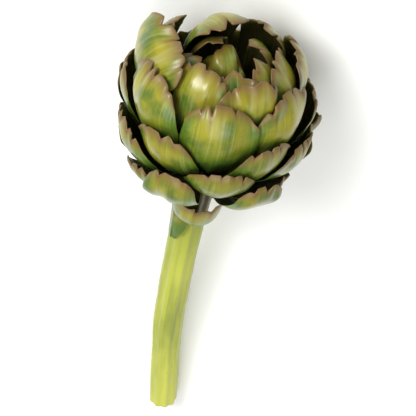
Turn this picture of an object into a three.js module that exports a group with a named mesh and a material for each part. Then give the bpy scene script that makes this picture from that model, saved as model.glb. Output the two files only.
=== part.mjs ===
// A globe artichoke as picked: an open head of cupped bracts on a long stalk, lying on its side.
//
// Frame: millimetres, +Z up, the head towards +X and the cut end of the stalk towards -X. The origin is
// on the surface that it lies on, under the middle of its bounding box.
//
// The stalk and the heart that it swells into are one piece. Each bract grows from the side of the heart.
// A bract starts as a free shape: a midrib curve, a width and a cup. It is then pressed outwards until it
// lies on the bracts inside it, working from the bud to the lowest ring, so that no two share any space.

import * as THREE from "three";
import { LoftGeometry } from "three/addons/geometries/LoftGeometry.js";

// ---- The head's place ----

const HEAD_TILT = 9.5; // degrees that the head's axis rises from the surface
const HEAD_CENTRE = new THREE.Vector3(97.95, 1, 50.2);

// Where the head lies on the surface, its lowest bracts are bent flatter by its weight.
const SETTLE_START = 15; // bracts above this height keep their shape
const SETTLE_DEPTH = 3.4; // how far under the surface they would otherwise reach

// ---- The stalk and the heart, along the head's axis from its centre ----

const STALK_CENTRELINE = [
  [0, 0, -43.5],
  [0, -1.4, -95],
  [0, -1, -143],
  [0, 0.5, -185],
  [0, 7.5, -255],
];
const STALK_TOP_RADIUS = 9.4;
const STALK_END_RADIUS = 8.4;
const STALK_END_ROUNDING = 2.5;
const STALK_SIDES = 16;
const STALK_STEPS = 16;
const STALK_RIB = 0.35; // height of its lengthwise ribs, one on every second side

// The heart's outline: radius and height, from the top of the stalk to the bed of the bud.
const HEART_OUTLINE = [
  [9.7, -44.6],
  [10.8, -41.2],
  [12.9, -37.8],
  [15.2, -34.1],
  [16.8, -30.4],
  [17.3, -27.3],
  [16.4, -24.6],
  [13.4, -22.8],
  [8, -22],
];

// ---- Bracts ----

const COLUMNS = 8; // cells across a bract
const ROWS = 7; // cells from its foot to its tip
const TIP_ARC = 0.14; // how much shorter a bract is along its sides than along its midrib
const TOOTH = 0.05; // depth of the teeth along the tip, as a share of the length
const FOOT_WIDTH = 0.34; // width at the foot, as a share of the widest
const WIDEST_AT = 0.64; // where a bract is widest, as a share of its length
const TIP_WIDTH = 0.9; // width of the toothed end, as a share of the widest

const CLEARANCE = 0.5; // between a bract and the ones that it lies on
const PRESSES = 4; // times that a bract is pressed outwards
const STIFFNESS = 0.3; // share of the largest press in a row that the whole row moves by
const DIRECTION_BOXES = 40; // boxes along each axis of a unit sphere, for finding what lies under a bract
const SAMPLES = 9; // steps across and along each cell, for the same

// Rings from the bud outwards. In each:
//   foot       radius and height where the bracts leave the heart
//   footAngle  direction they leave in, in degrees from the head's axis; 90 is straight outwards
//   tipReach   distance of the tips from the head's centre
//   flare      how far the tips turn away from the round of the head, in degrees
//   bow        how strongly the midrib follows its two end directions, as a share of its chord
//   halfWidth, cup (radius of the cross-section) and thickness
//   tipArc     its own TIP_ARC; where it is negative the sides stand higher than the middle
//   bracts     for each, [azimuth, tip's polar angle, lean of the tip sideways] in degrees, and how much
//              farther out the tip lies than its ring's
const RINGS = [
  {
    name: "bud_bract",
    foot: [6.5, -21.5],
    footAngle: 14,
    tipReach: 28.5,
    flare: -4,
    bow: [1.15, 1.15],
    halfWidth: 9,
    cup: 9,
    thickness: 1.2,
    bracts: [
      [-166, 0, 6, 0],
      [104, -2, -4, 0],
      [-76, -5, -5, 0],
      [20, -9, 4, 1],
    ],
  },
  {
    name: "inner_bract",
    foot: [11.5, -22],
    footAngle: 30,
    tipReach: 38,
    flare: -8,
    bow: [1.2, 1.2],
    halfWidth: 14,
    cup: 14,
    thickness: 1.4,
    bracts: [
      [-135, 6, -4, 1],
      [122, 17, 6, 5],
      [60, 19, 6, 7],
      [-60, 20, -8, 1],
      [10, 20, 10, -1],
    ],
  },
  {
    name: "upper_bract",
    foot: [15.8, -23.2],
    footAngle: 42,
    tipReach: 46,
    flare: -8,
    bow: [1.1, 1.15],
    halfWidth: 19,
    cup: 18,
    thickness: 1.5,
    bracts: [
      [-140, 1, -6, 9],
      [143, 30, 4, 5],
      [-96, 34, -24, 7],
      [87, 28, 0, 4],
      [-19, 26, -6, 3],
      [33, 34, -6, 2],
    ],
  },
  {
    name: "shoulder_bract",
    foot: [18.2, -27.2],
    footAngle: 54,
    tipReach: 47.5,
    flare: -9,
    bow: [1, 1.15],
    halfWidth: 21,
    cup: 21,
    thickness: 1.6,
    bracts: [
      [180, 60, 4, 0],
      [112, 39, -2, 7],
      [-86, 29, 30, -1],
      [60, 46, 0, 5],
      [-50, 46, -6, 5],
      [7, 46, 0, 4],
    ],
  },
  {
    name: "side_bract",
    foot: [17.5, -30.8],
    footAngle: 70,
    tipReach: 49.5,
    flare: -12,
    bow: [1, 1],
    halfWidth: 19.5,
    cup: 24,
    thickness: 1.6,
    bracts: [
      [155, 67, 2, 0],
      [-148, 76, -4, 0],
      [106, 70, 2, 2],
      [-95, 72, -3, 2],
      [40, 73, 2, 1],
      [-25, 73, -6, 1],
    ],
  },
  {
    name: "lower_bract",
    foot: [15.8, -34.4],
    footAngle: 84,
    tipReach: 49.5,
    flare: -22,
    bow: [1.05, 1],
    halfWidth: 19,
    cup: 25,
    thickness: 1.6,
    bracts: [
      [-172, 84, 2, 0],
      [130, 82, -3, 0],
      [-115, 86, 3, 0],
      [68, 84, 4, 2],
      [-57, 87, -4, 2],
      [14, 88, 0, 2],
    ],
  },
  {
    name: "skirt_bract",
    foot: [13.6, -38],
    footAngle: 98,
    tipReach: 47.5,
    flare: -30,
    bow: [1.05, 1.05],
    halfWidth: 15.5,
    cup: 22,
    thickness: 1.5,
    bracts: [
      [160, 95, 3, 0],
      [-140, 97, -3, 0],
      [100, 94, 3, 0],
      [-82, 104, -3, 0],
      [55, 110, 8, 3],
      [-37, 109, -8, 3],
    ],
  },
  {
    name: "base_bract",
    foot: [11.2, -41.6],
    footAngle: 106,
    tipReach: 47,
    flare: -34,
    bow: [1.1, 1.05],
    halfWidth: 14.5,
    cup: 21,
    thickness: 1.5,
    bracts: [
      [-172, 112, 0, 0],
      [124, 113, 3, 0],
      [-108, 116, -3, 0],
      [41, 102, 0, 5],
      [-16, 98, 0, 4],
    ],
  },
  {
    name: "neck_bract",
    foot: [10.5, -71.5],
    footAngle: 102,
    tipReach: 57,
    flare: -58,
    bow: [1.4, 1.1],
    halfWidth: 17,
    cup: 14.5,
    thickness: 1.3,
    tipArc: -0.25,
    bracts: [
      [4, 152, 3, 0],
      [152, 152, -3, 0],
      [-128, 152, 3, 0],
    ],
  },
  {
    name: "stalk_leaf_base",
    foot: [11.9, -95],
    footAngle: 1,
    tipReach: 74,
    flare: -78,
    bow: [1, 0.8],
    halfWidth: 8,
    cup: 11.2,
    thickness: 1.4,
    bracts: [[-48, 170.9, 0, 0]],
  },
];

const BUD_CORE_OUTLINE = [
  [3.5, -20],
  [5, -12],
  [5.4, 0],
  [4.6, 11],
  [2.8, 18],
  [0.9, 21.5],
];
const BUD_CORE_TOP = 23;
const BUD_CORE_SIDES = 10;

// ---- Materials ----

const FINISHES = {
  stalk: { color: 0xa9b65c, roughness: 0.55 },
  outer: { color: 0x6f8238, roughness: 0.42 },
  inner: { color: 0x8f8f3c, roughness: 0.45 },
};

function finish(name) {
  return new THREE.MeshStandardMaterial({ ...FINISHES[name], metalness: 0 });
}

// ---- Small helpers ----

const radians = THREE.MathUtils.degToRad;
const mix = THREE.MathUtils.lerp;
const smoothstep = THREE.MathUtils.smoothstep;

// A repeatable number from -1 to 1 that differs from bract to bract.
function variation(bractNumber, kind) {
  return Math.sin(bractNumber * 12.9898 + kind * 4.1414);
}

// ---- The free shape of a bract ----

// The midrib at a share v of its length: radius, height and direction, in the plane of its azimuth.
function midrib(bract, v) {
  const { ring, tip } = bract;
  const chord = Math.hypot(tip[0] - ring.foot[0], tip[1] - ring.foot[1]);
  const directions = [radians(ring.footAngle), radians(bract.tipAngle)];
  const ends = directions.map((angle, k) => [
    ring.bow[k] * chord * Math.sin(angle),
    ring.bow[k] * chord * Math.cos(angle),
  ]);
  const place = [0, 1].map((k) => {
    const startBlend = 2 * v ** 3 - 3 * v ** 2 + 1;
    const startPull = v ** 3 - 2 * v ** 2 + v;
    const endPull = v ** 3 - v ** 2;
    return (
      ring.foot[k] * startBlend + ends[0][k] * startPull + tip[k] * (1 - startBlend) + ends[1][k] * endPull
    );
  });
  const slope = [0, 1].map((k) => {
    const alongChord = 6 * (v - v ** 2) * (tip[k] - ring.foot[k]);
    return alongChord + ends[0][k] * (3 * v ** 2 - 4 * v + 1) + ends[1][k] * (3 * v ** 2 - 2 * v);
  });
  return { radius: place[0], height: place[1], angle: Math.atan2(slope[0], slope[1]) };
}

// Half the width of a bract at a share t of its length.
function halfWidth(bract, t) {
  const narrowing =
    t > WIDEST_AT
      ? (1 - TIP_WIDTH) * ((t - WIDEST_AT) / (1 - WIDEST_AT)) ** 2
      : (1 - FOOT_WIDTH) * ((WIDEST_AT - t) / WIDEST_AT) ** 1.3;
  return bract.halfWidth * (1 - narrowing);
}

// A point of a bract's middle surface: u runs from -1 to 1 across it, t from 0 at the foot to 1 at the tip.
function freePoint(bract, u, t, tooth = 0) {
  const v = t * (1 - (bract.ring.tipArc ?? TIP_ARC) * u ** 4) - tooth;
  const { radius, height, angle } = midrib(bract, v);
  const azimuth = radians(bract.azimuth + bract.lean * (v - 0.4));
  const across = u * halfWidth(bract, t);

  // At its foot the bract follows the round of the heart.
  const turned = azimuth + across / Math.max(radius, 6);
  const foot = new THREE.Vector3(radius * Math.cos(turned), radius * Math.sin(turned), height);

  // Further out it is a cup, rolled a little to one side.
  const outwards = new THREE.Vector3(Math.cos(azimuth), Math.sin(azimuth), 0);
  const sideways = new THREE.Vector3(-Math.sin(azimuth), Math.cos(azimuth), 0);
  const facing = outwards.clone().multiplyScalar(Math.cos(angle));
  facing.z = -Math.sin(angle);
  const bend = across / bract.cup;
  const side = bract.cup * Math.sin(bend);
  const depth = bract.cup * (1 - Math.cos(bend)) + bract.roll * side;
  const cup = outwards.multiplyScalar(radius).setZ(height);
  cup.addScaledVector(sideways, side).addScaledVector(facing, -depth);

  return foot.lerp(cup, smoothstep(t, 0, 0.35));
}

// ---- Nesting ----

// The farthest surface in each direction from the head's centre. Directions are sorted into small boxes.
const farthest = new Map();

function boxOf(point) {
  const scale = DIRECTION_BOXES / point.length();
  return [point.x, point.y, point.z].reduce((box, value) => 1000 * box + 500 + Math.round(value * scale), 0);
}

// Calls back with points spread over each cell of a bract's middle surface. Each comes with half the
// bract's thickness, measured away from the head's centre, and the share that each of the cell's corners
// has in it.
function overCells(rows, thickness, visit) {
  for (let row = 0; row < ROWS; row++)
    for (let column = 0; column < COLUMNS; column++) {
      const facing = rows[row][column].clone().sub(rows[row + 1][column + 1]);
      facing.cross(rows[row + 1][column].clone().sub(rows[row][column + 1])).normalize();
      for (let i = 0; i <= SAMPLES; i++)
        for (let j = 0; j <= SAMPLES; j++) {
          const [along, across] = [i / SAMPLES, j / SAMPLES];
          const corners = [
            { row, column, share: (1 - along) * (1 - across) },
            { row, column: column + 1, share: (1 - along) * across },
            { row: row + 1, column, share: along * (1 - across) },
            { row: row + 1, column: column + 1, share: along * across },
          ];
          const point = new THREE.Vector3();
          for (const corner of corners) point.addScaledVector(rows[corner.row][corner.column], corner.share);
          const squareness = Math.max(Math.abs(facing.dot(point)) / point.length(), 0.45);
          visit(point, thickness / 2 / squareness, corners);
        }
    }
}

// Records a bract's surface, so that the ones after it stay clear of it.
function record(rows, thickness) {
  overCells(rows, thickness, (point, room) => {
    const box = boxOf(point);
    farthest.set(box, Math.max(farthest.get(box) ?? 0, point.length() + room));
  });
}

// Moves the points of a middle surface outwards until the bract is clear of what lies under it.
function pressOutwards(rows, thickness) {
  const presses = rows.map((points) => points.map(() => 0));
  overCells(rows, thickness, (point, room, corners) => {
    const under = farthest.get(boxOf(point)) ?? 0;
    const press = under + room + CLEARANCE - point.length();
    if (!under || press <= 0) return;
    const whole = corners.reduce((sum, corner) => sum + corner.share ** 2, 0);
    for (const { row, column, share } of corners)
      presses[row][column] = Math.max(presses[row][column], (press * share) / whole);
  });
  rows.forEach((points, row) => {
    const free = smoothstep(row / ROWS, 0, 0.2);
    const least = STIFFNESS * Math.max(...presses[row]);
    points.forEach((point, column) => {
      point.setLength(point.length() + free * Math.max(presses[row][column], least));
    });
  });
}

// The middle surface of a bract as rows of points, from foot to tip, lying on the bracts inside it.
function middleSurface(bract) {
  const rows = [];
  for (let row = 0; row <= ROWS; row++) {
    rows.push([]);
    for (let column = 0; column <= COLUMNS; column++) {
      const tooth = row === ROWS && column % 2 ? TOOTH : 0;
      rows[row].push(freePoint(bract, (2 * column) / COLUMNS - 1, row / ROWS, tooth));
    }
  }
  for (let pass = 0; pass < PRESSES; pass++) pressOutwards(rows, bract.thickness);
  record(rows, bract.thickness);
  return rows;
}

// ---- Solids ----

// The direction square to a surface of points, at one of them.
function facingAt(rows, row, column) {
  const last = [rows.length - 1, rows[0].length - 1];
  const along = rows[Math.min(row + 1, last[0])][column].clone();
  along.sub(rows[Math.max(row - 1, 0)][column]);
  const across = rows[row][Math.min(column + 1, last[1])].clone();
  across.sub(rows[row][Math.max(column - 1, 0)]);
  return across.cross(along).normalize();
}

// A closed solid between an outer and an inner surface of points.
function shellGeometry(outer, inner) {
  const [height, width] = [outer.length, outer[0].length];
  const positions = [outer, inner].flat(2).flatMap((point) => point.toArray());
  const at = (side, row, column) => (side * height + row) * width + column;
  const faces = [];
  const quad = (a, b, c, d) => faces.push(a, b, c, a, c, d);
  for (let row = 0; row < height - 1; row++)
    for (let column = 0; column < width - 1; column++) {
      const [r, c] = [row + 1, column + 1];
      quad(at(0, row, column), at(0, row, c), at(0, r, c), at(0, r, column));
      quad(at(1, row, c), at(1, row, column), at(1, r, column), at(1, r, c));
    }
  const rim = [];
  for (let column = 0; column < width - 1; column++) rim.push([0, column]);
  for (let row = 0; row < height - 1; row++) rim.push([row, width - 1]);
  for (let column = width - 1; column > 0; column--) rim.push([height - 1, column]);
  for (let row = height - 1; row > 0; row--) rim.push([row, 0]);
  rim.forEach(([row, column], k) => {
    const [nextRow, nextColumn] = rim[(k + 1) % rim.length];
    quad(at(0, nextRow, nextColumn), at(0, row, column), at(1, row, column), at(1, nextRow, nextColumn));
  });
  const geometry = new THREE.BufferGeometry();
  geometry.setAttribute("position", new THREE.Float32BufferAttribute(positions, 3));
  geometry.setIndex(faces);
  geometry.computeVertexNormals();
  return geometry;
}

// A height above the surface, once the head's weight has bent its lowest bracts.
function settled(height) {
  if (height >= SETTLE_START) return height;
  const share = (SETTLE_START - height) / (SETTLE_START + SETTLE_DEPTH);
  const bent = SETTLE_START - share * (SETTLE_START + SETTLE_DEPTH) + share ** 2 * SETTLE_DEPTH;
  return Math.max(bent, 0);
}

function settle(point) {
  point.applyMatrix4(head.matrix);
  point.z = settled(point.z);
  return point.applyMatrix4(headInverse);
}

// The solid of a bract from its middle surface: thickest at its foot and along its midrib.
function bractGeometry(rows, thickness) {
  const [outer, inner] = [0.5, -0.5].map((side) =>
    rows.map((points, row) =>
      points.map((point, column) => {
        const u = (2 * column) / COLUMNS - 1;
        const here = thickness * (1 - 0.3 * u * u) * (1.15 - (0.35 * row) / ROWS);
        return settle(point.clone().addScaledVector(facingAt(rows, row, column), side * here));
      }),
    ),
  );
  return shellGeometry(outer, inner);
}

// A ring of points round a centre, in the plane of two directions.
function roundSection(centre, right, up, radius, sides, rib = 0) {
  return Array.from({ length: sides }, (_, k) => {
    const angle = (2 * Math.PI * k) / sides;
    const reach = radius + (k % 2 ? -rib : rib);
    return centre
      .clone()
      .addScaledVector(right, reach * Math.cos(angle))
      .addScaledVector(up, reach * Math.sin(angle));
  });
}

// The stalk from its cut end, swelling into the heart at its top: one solid.
function stalkGeometry() {
  const [right, up] = [new THREE.Vector3(1, 0, 0), new THREE.Vector3(0, 1, 0)];
  const curve = new THREE.CatmullRomCurve3(STALK_CENTRELINE.map((point) => new THREE.Vector3(...point)));
  const end = curve.getPointAt(1);
  const sections = [
    roundSection(end, right, up, STALK_END_RADIUS - STALK_END_ROUNDING, STALK_SIDES),
    roundSection(end.clone().setZ(end.z + 0.8), right, up, STALK_END_RADIUS - 0.8, STALK_SIDES),
  ];
  for (let step = STALK_STEPS; step > 0; step--) {
    const share = (step - 0.25) / STALK_STEPS;
    const radius = mix(STALK_TOP_RADIUS, STALK_END_RADIUS, share);
    sections.push(roundSection(curve.getPointAt(share), right, up, radius, STALK_SIDES, STALK_RIB));
  }
  for (const [radius, height] of HEART_OUTLINE)
    sections.push(roundSection(new THREE.Vector3(0, 0, height), right, up, radius, STALK_SIDES));
  return new LoftGeometry(sections, { capStart: true, capEnd: true });
}

function budCoreGeometry() {
  const outline = BUD_CORE_OUTLINE.map(([radius, height]) => new THREE.Vector2(radius, height));
  const closed = [new THREE.Vector2(0, outline[0].y), ...outline, new THREE.Vector2(0, BUD_CORE_TOP)];
  return new THREE.LatheGeometry(closed, BUD_CORE_SIDES).rotateX(Math.PI / 2);
}

// ---- The artichoke ----

const artichoke = new THREE.Group();

const head = new THREE.Group();
head.position.copy(HEAD_CENTRE);
const axis = new THREE.Vector3(Math.cos(radians(HEAD_TILT)), 0, Math.sin(radians(HEAD_TILT)));
const front = new THREE.Vector3(-axis.z, 0, axis.x); // azimuth 0, the side that faces up
head.quaternion.setFromRotationMatrix(new THREE.Matrix4().makeBasis(front, axis.clone().cross(front), axis));
head.updateMatrix();
const headInverse = head.matrix.clone().invert();
artichoke.add(head);

function addPiece(name, geometry, finishName) {
  const piece = new THREE.Mesh(geometry, finish(finishName));
  piece.name = name;
  head.add(piece);
}

addPiece("stalk_and_heart", stalkGeometry(), "stalk");
addPiece("bud_core", budCoreGeometry(), "inner");

let bractNumber = 0;
for (const ring of RINGS)
  ring.bracts.forEach(([azimuth, tipPolar, lean, rise], k) => {
    bractNumber += 1;
    const reach = ring.tipReach + rise + 0.8 * variation(bractNumber, 1);
    const polar = radians(tipPolar);
    const bract = {
      ring,
      azimuth,
      lean,
      tip: [reach * Math.sin(polar), reach * Math.cos(polar)],
      tipAngle: tipPolar - 90 + ring.flare + 5 * variation(bractNumber, 2),
      halfWidth: ring.halfWidth * (1 + 0.05 * variation(bractNumber, 3)),
      cup: ring.cup,
      roll: 0.08 * variation(bractNumber, 4),
      thickness: ring.thickness,
    };
    const rows = middleSurface(bract);
    const name = ring.bracts.length > 1 ? `${ring.name}_${k + 1}` : ring.name;
    const finishName = RINGS.indexOf(ring) < 3 ? "inner" : "outer";
    addPiece(name, bractGeometry(rows, bract.thickness), finishName);
  });

export default artichoke;
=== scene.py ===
"""A globe artichoke lying on its side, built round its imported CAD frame.

The head grows in rings. Each bract starts as a free shape, given by a midrib curve, a width and a cup, and is
then pressed outwards until it lies on the bracts inside it, from the bud to the lowest ring. That is the same
rule that shapes the solids of the frame, so every blade sits in the space of its own node. The blades here add
what a solid leaves out: torn teeth, thin rolled edges, pleats and dents.

Lengths are in millimetres in the head's own frame: +Z from the stalk to the bud, azimuth 0 on the side that
faces up. They turn to metres in the row frame when a mesh is made.
"""

import logging
import math
from dataclasses import dataclass, field
from enum import Enum

import bpy
import numpy as np
from mathutils import Matrix, Vector

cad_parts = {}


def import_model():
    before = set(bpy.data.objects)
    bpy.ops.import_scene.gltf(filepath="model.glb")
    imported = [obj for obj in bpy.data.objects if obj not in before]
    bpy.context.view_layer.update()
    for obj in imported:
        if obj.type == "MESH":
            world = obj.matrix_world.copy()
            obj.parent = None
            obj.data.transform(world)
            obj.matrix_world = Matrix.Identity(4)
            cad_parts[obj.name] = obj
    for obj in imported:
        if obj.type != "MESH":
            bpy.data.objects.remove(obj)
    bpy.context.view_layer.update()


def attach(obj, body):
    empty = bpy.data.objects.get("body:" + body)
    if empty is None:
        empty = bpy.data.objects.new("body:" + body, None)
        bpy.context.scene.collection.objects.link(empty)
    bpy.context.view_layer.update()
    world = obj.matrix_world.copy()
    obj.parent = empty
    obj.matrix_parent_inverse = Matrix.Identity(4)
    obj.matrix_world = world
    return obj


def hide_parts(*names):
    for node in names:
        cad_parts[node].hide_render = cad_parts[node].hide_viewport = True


LOG = logging.getLogger("artichoke")

MM = 0.001
BODY = "root"


# ---- Frames and small helpers ----


@dataclass(frozen=True)
class HeadFrame:
    """Where the head lies in the row frame."""

    tilt: float = 9.5
    centre: tuple[float, float, float] = (97.95, 1.0, 50.2)
    settle_start: float = 15.0
    settle_depth: float = 3.4

    def axis(self) -> np.ndarray:
        """Returns the direction from the stalk to the bud."""
        tilt = math.radians(self.tilt)
        return np.array([math.cos(tilt), 0.0, math.sin(tilt)])

    def front(self) -> np.ndarray:
        """Returns the direction of azimuth 0, square to the axis."""
        axis = self.axis()
        return np.array([-axis[2], 0.0, axis[0]])

    def to_row(self, points: np.ndarray) -> np.ndarray:
        """Moves points of the head to the row frame and settles them on the surface.

        Args:
            points: millimetres in the head's frame, in an array that ends in 3.

        Returns:
            The points in metres in the row frame.
        """
        axis, front = self.axis(), self.front()
        basis = np.stack([front, np.cross(axis, front), axis])
        placed = points @ basis + np.array(self.centre)
        placed[..., 2] = self.settled(placed[..., 2])
        return placed * MM

    def settled(self, height: np.ndarray) -> np.ndarray:
        """Bends what would reach under the surface flatter, as the head's weight does.

        Args:
            height: heights above the surface, in millimetres.

        Returns:
            The heights once settled, none of them under the surface.
        """
        reach = self.settle_start + self.settle_depth
        share = np.clip((self.settle_start - height) / reach, 0, None)
        bent = self.settle_start - share * reach + share**2 * self.settle_depth
        return np.maximum(np.where(height >= self.settle_start, height, bent), 0)


def variation(number: int, kind: int) -> float:
    """Returns a repeatable number from -1 to 1 that differs from bract to bract."""
    return math.sin(number * 12.9898 + kind * 4.1414)


def smoothstep(value: np.ndarray, low: float, high: float) -> np.ndarray:
    """Returns a smooth ramp from 0 at low to 1 at high."""
    share = np.clip((value - low) / (high - low), 0, 1)
    return share * share * (3 - 2 * share)


def unit(vectors: np.ndarray) -> np.ndarray:
    """Returns the vectors at length 1."""
    return vectors / np.maximum(np.linalg.norm(vectors, axis=-1, keepdims=True), 1e-9)


def cubic_weights(places: np.ndarray, count: int) -> np.ndarray:
    """Makes the weights of a smooth curve through evenly spaced values.

    Args:
        places: where the curve is read, from 0 at the first value to 1 at the last.
        count: how many values there are.

    Returns:
        An array of one row for each place, with a weight for each value.
    """
    position = np.clip(places, 0, 1) * (count - 1)
    cell = np.minimum(position.astype(int), count - 2)
    share = position - cell
    rows = np.zeros((len(places), count))
    kernel = (
        0.5 * (-share + 2 * share**2 - share**3),
        0.5 * (2 - 5 * share**2 + 3 * share**3),
        0.5 * (share + 4 * share**2 - 3 * share**3),
        0.5 * (-(share**2) + share**3),
    )
    for offset, weight in zip((-1, 0, 1, 2), kernel):
        np.add.at(rows, (np.arange(len(places)), np.clip(cell + offset, 0, count - 1)), weight)
    return rows


# ---- Finishes ----


def linear(colour: str) -> tuple[float, float, float, float]:
    """Turns an sRGB hex colour such as "#6f8f3a" into linear RGBA."""
    parts = [int(colour[k : k + 2], 16) / 255 for k in (1, 3, 5)]
    return (*(c / 12.92 if c <= 0.04045 else ((c + 0.055) / 1.055) ** 2.4 for c in parts), 1.0)


def add_node(
    tree: bpy.types.NodeTree, kind: str, settings: dict | None = None, inputs: dict | None = None
) -> bpy.types.Node:
    """Adds a node with its settings and links.

    Args:
        tree: the tree that the node goes in.
        kind: the node's type name.
        settings: a value for each of its properties that is set.
        inputs: for each of its inputs, by name or number, the value that it holds or the output socket that
            it is linked to.

    Returns:
        The node.
    """
    node = tree.nodes.new(kind)
    for key, value in (settings or {}).items():
        setattr(node, key, value)
    for key, value in (inputs or {}).items():
        if isinstance(value, bpy.types.NodeSocket):
            tree.links.new(value, node.inputs[key])
        else:
            node.inputs[key].default_value = value
    return node


SMOOTH = {"interpolation_type": "SMOOTHSTEP"}
COLOURS = {"data_type": "RGBA"}
TIMES = {"operation": "MULTIPLY", "use_clamp": True}
PLUS = {"operation": "ADD", "use_clamp": True}


@dataclass(frozen=True)
class BractSkin:
    """Fresh bract skin: green plant tissue under a thin natural wax, grown in strands from foot to tip.

    The wax gives wide soft highlights, and the strands break them into streaks. The tissue is green at the
    foot and the sides, yellows where it has seen light, and dries brown and then purplish along the torn tip.
    The inside of the cup is olive, darkened by painted shade, most of all away from the torn tip.
    """

    name: str
    green: str = "#647c24"
    deep: str = "#44621f"
    sunned: str = "#9c911a"
    streak: str = "#b5b96e"
    dark_streak: str = "#3b4f1f"
    dried: str = "#75601f"
    purple: str = "#66452e"
    fleck: str = "#5f4a20"
    # Inside of the cup: olive-brown, made much darker by painted shade; inner_rim is its paler colour near the
    # torn tip.
    inner: str = "#2e2c14"
    inner_rim: str = "#65622a"
    rim: str = "#7a7038"
    sunning: float = 0.85
    roughness: float = 0.3
    coat: float = 0.3

    def build(self) -> bpy.types.Material:
        """Returns the material. It reads the attributes that each blade stores."""
        material = bpy.data.materials.new(self.name)
        material.use_nodes = True
        tree = material.node_tree
        shader = tree.nodes["Principled BSDF"]
        read = {
            name: add_node(tree, "ShaderNodeAttribute", {"attribute_name": name}).outputs
            for name in ("blade", "marks", "edge", "centre")
        }
        reach, inside, tone = add_node(
            tree, "ShaderNodeSeparateXYZ", inputs={0: read["marks"]["Vector"]}
        ).outputs[:3]
        edge, centre = read["edge"]["Fac"], read["centre"]["Fac"]

        # How wide and how long each mark is, in millimetres. The third axis only sets bracts apart.
        noises = {}
        for name, width, length, detail in (
            ("blotch", 14.0, 22.0, 3.0), ("strand", 1.3, 55.0, 3.0),
            ("vein", 3.2, 90.0, 1.0), ("speck", 2.0, 2.5, 2.0),
        ):
            scaled = add_node(
                tree, "ShaderNodeMapping",
                inputs={"Vector": read["blade"]["Vector"], "Scale": (1 / width, 1 / length, 0.3)},
            )
            noises[name] = add_node(
                tree, "ShaderNodeTexNoise",
                inputs={0: scaled.outputs[0], "Scale": 1.0, "Detail": detail, "Roughness": 0.55},
            ).outputs[0]

        # Light yellows the middle of the outer half, less on some bracts and in some blotches.
        lit = self.sunning
        for value, low, high in (
            (reach, 0.35, 0.8), (centre, 0.05, 0.8), (noises["blotch"], 0.2, 0.6), (tone, -0.4, 0.9),
        ):
            share = add_node(
                tree, "ShaderNodeMapRange", SMOOTH, {"Value": value, "From Min": low, "From Max": high}
            )
            lit = add_node(tree, "ShaderNodeMath", TIMES, {0: share.outputs[0], 1: lit}).outputs[0]

        # Dryness grows towards the torn edge, further in some blotches.
        uneven = add_node(
            tree, "ShaderNodeMapRange",
            inputs={
                "Value": noises["blotch"], "From Min": 0.0, "From Max": 1.0, "To Min": -0.24, "To Max": 0.34,
            },
        )
        dry = add_node(tree, "ShaderNodeMath", PLUS, {0: edge, 1: uneven.outputs[0]}).outputs[0]

        layers = (
            (noises["blotch"], 0.38, 0.66, 1.0, self.green),
            (lit, 0.0, 1.0, 1.0, self.sunned),
            (noises["strand"], 0.5, 0.72, 0.22, self.streak),
            (noises["strand"], 0.47, 0.3, 0.4, self.dark_streak),
            (dry, 0.2, 0.8, 0.85, self.dried),
            (dry, 0.66, 1.05, 0.7, self.purple),
            (noises["speck"], 0.66, 0.75, 0.35, self.fleck),
        )
        body = linear(self.deep)
        for value, low, high, most, colour in layers:
            share = add_node(
                tree, "ShaderNodeMapRange", SMOOTH,
                {"Value": value, "From Min": low, "From Max": high, "To Max": most},
            )
            body = add_node(
                tree, "ShaderNodeMix", COLOURS, {0: share.outputs[0], 6: body, 7: linear(colour)}
            ).outputs[2]
        # The inside of the cup: painted shade over olive-brown tissue, darkest away from the torn tip and
        # paler towards it, with faint strands.
        shaded_lining = linear(self.inner)
        for value, low, high, most, colour in (
            (edge, 0.2, 0.9, 1.0, self.inner_rim), (noises["strand"], 0.5, 0.72, 0.2, self.rim),
        ):
            share = add_node(
                tree, "ShaderNodeMapRange", SMOOTH,
                {"Value": value, "From Min": low, "From Max": high, "To Max": most},
            )
            shaded_lining = add_node(
                tree, "ShaderNodeMix", COLOURS, {0: share.outputs[0], 6: shaded_lining, 7: linear(colour)}
            ).outputs[2]
        turned_in = add_node(
            tree, "ShaderNodeMapRange", SMOOTH, {"Value": inside, "From Min": 0.5, "From Max": 0.9}
        )
        skin = add_node(tree, "ShaderNodeMix", COLOURS, {0: turned_in.outputs[0], 6: body, 7: shaded_lining})
        tree.links.new(skin.outputs[2], shader.inputs["Base Color"])

        # Wax lies thicker on the green than on the dry tissue.
        wax = add_node(
            tree, "ShaderNodeMapRange",
            inputs={
                "Value": dry, "From Min": 0.2, "From Max": 0.9,
                "To Min": self.roughness, "To Max": self.roughness + 0.25,
            },
        )
        tree.links.new(wax.outputs[0], shader.inputs["Roughness"])
        # Veins stand 0.25 mm proud, strands a third of that.
        height = noises["vein"]
        for value, part in ((noises["strand"], 0.45), (noises["speck"], 0.12)):
            fine = add_node(tree, "ShaderNodeMath", TIMES, {0: value, 1: part}).outputs[0]
            height = add_node(tree, "ShaderNodeMath", {"operation": "ADD"}, {0: height, 1: fine}).outputs[0]
        bump = add_node(
            tree, "ShaderNodeBump", inputs={"Strength": 0.55, "Distance": 0.5 * MM, "Height": height}
        )
        tree.links.new(bump.outputs[0], shader.inputs["Normal"])
        shader.inputs["IOR"].default_value = 1.45
        shader.inputs["Coat Weight"].default_value = self.coat
        shader.inputs["Coat Roughness"].default_value = 0.22
        return material


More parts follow.
